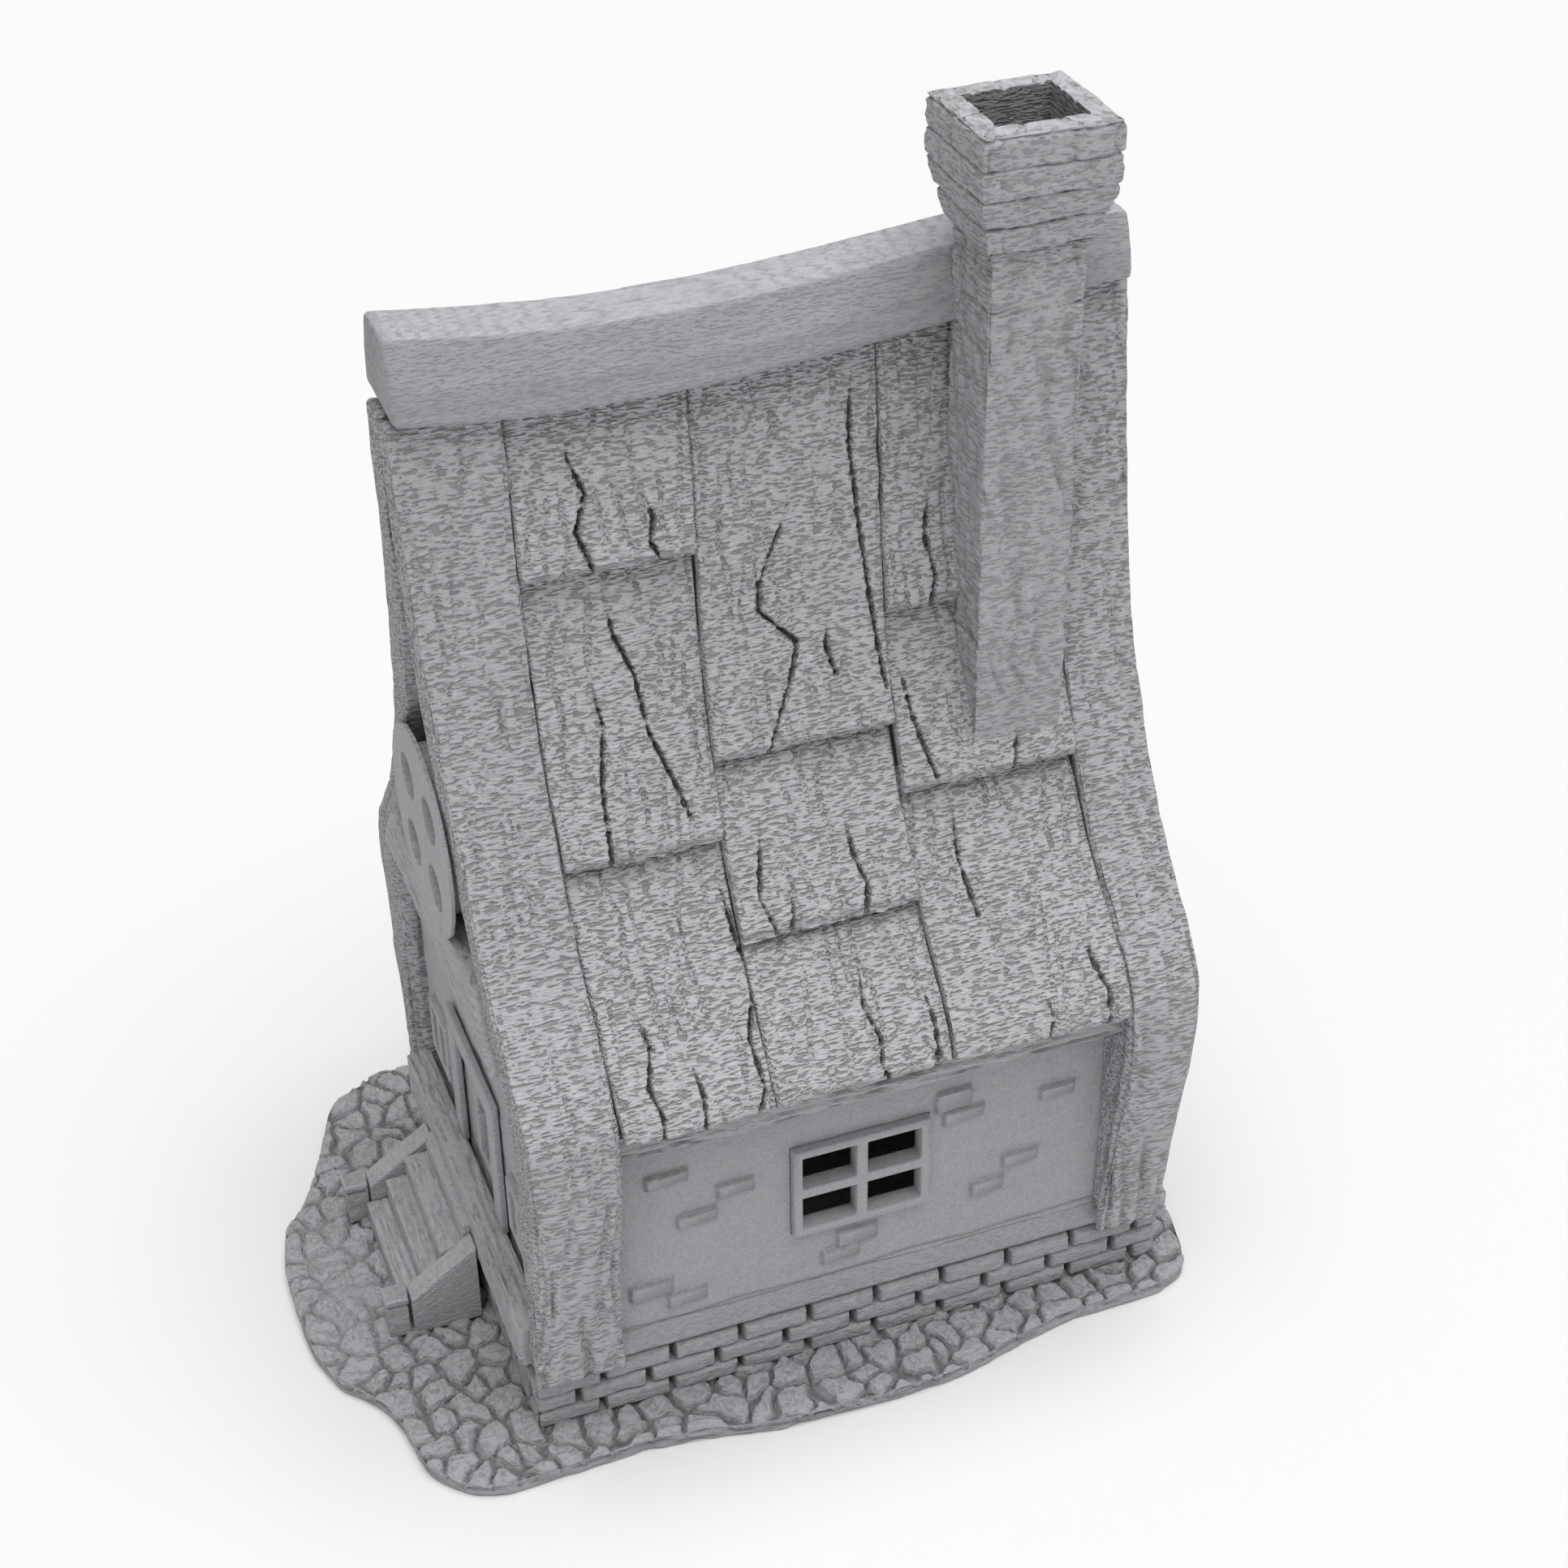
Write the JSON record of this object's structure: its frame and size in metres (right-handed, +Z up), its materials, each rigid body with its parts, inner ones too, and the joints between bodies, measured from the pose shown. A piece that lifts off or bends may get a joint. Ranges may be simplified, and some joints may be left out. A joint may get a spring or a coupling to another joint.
{
  "type": "miniature tabletop cottage",
  "caption": "Miniature cottage terrain with a steep curved boarded roof, a chimney and front steps on a cobbled base; the house shell lifts off its plinth.",
  "frame": {"origin": "on the underside of the base, under the middle of the house plan", "axes": "+Z up to the chimney, -Y towards the front door and the steps, +X towards the chimney side, ridge along Y"},
  "size_m": [0.0976, 0.1357, 0.1851],
  "materials": {
    "stone_plastic": "matte printed, cobbles and brick courses",
    "timber_plastic": "matte printed, carved wood grain",
    "wall_plastic": "matte printed, fine plaster with stray bricks",
    "board_plastic": "matte printed, wood grain crossed by layer lines"
  },
  "bodies": {
    "base": {"base_slab": "stone_plastic", "plinth_right": "stone_plastic", "plinth_left": "stone_plastic", "plinth_back": "stone_plastic", "plinth_front": "stone_plastic", "stair_string_left": "timber_plastic", "stair_string_right": "timber_plastic", "stair_newel_left": "timber_plastic", "stair_newel_right": "timber_plastic", "stair_tread_1": "timber_plastic", "stair_tread_2": "timber_plastic", "stair_tread_3": "timber_plastic", "stair_tread_4": "timber_plastic"},
    "house": {"cruck_front_left": "timber_plastic", "cruck_front_right": "timber_plastic", "sill_beam_front": "timber_plastic", "tie_beam_front": "timber_plastic", "gable_front": "wall_plastic", "round_window_front": "timber_plastic", "cruck_back_left": "timber_plastic", "cruck_back_right": "timber_plastic", "sill_beam_back": "timber_plastic", "tie_beam_back": "timber_plastic", "gable_back": "wall_plastic", "round_window_back": "timber_plastic", "small_window_left": "timber_plastic", "small_window_right": "timber_plastic", "door_frame": "timber_plastic", "door_leaf": "timber_plastic", "door_pull": "timber_plastic", "wall_right": "wall_plastic", "side_window_right": "timber_plastic", "eave_plate_right": "timber_plastic", "roof_deck_right": "board_plastic", "shingle_right_front_upper": "board_plastic", "shingle_right_front_middle": "board_plastic", "shingle_right_front_lower": "board_plastic", "shingle_right_centre_upper": "board_plastic", "shingle_right_centre_middle": "board_plastic", "shingle_right_centre_lower": "board_plastic", "shingle_right_back_upper": "board_plastic", "shingle_right_back_middle": "board_plastic", "shingle_right_back_lower": "board_plastic", "wall_left": "wall_plastic", "side_window_left": "timber_plastic", "eave_plate_left": "timber_plastic", "roof_deck_left": "board_plastic", "shingle_left_front_upper": "board_plastic", "shingle_left_front_middle": "board_plastic", "shingle_left_front_lower": "board_plastic", "shingle_left_centre_upper": "board_plastic", "shingle_left_centre_middle": "board_plastic", "shingle_left_centre_lower": "board_plastic", "shingle_left_back_upper": "board_plastic", "shingle_left_back_middle": "board_plastic", "shingle_left_back_lower": "board_plastic", "ridge_beam": "timber_plastic", "chimney_shaft": "stone_plastic", "chimney_cap": "stone_plastic"}
  },
  "joints": [
    {"name": "house_lift", "type": "slide", "parent": "base", "child": "house", "axis": [0, 0, 1], "range_m": [0, 0.05]}
  ]
}
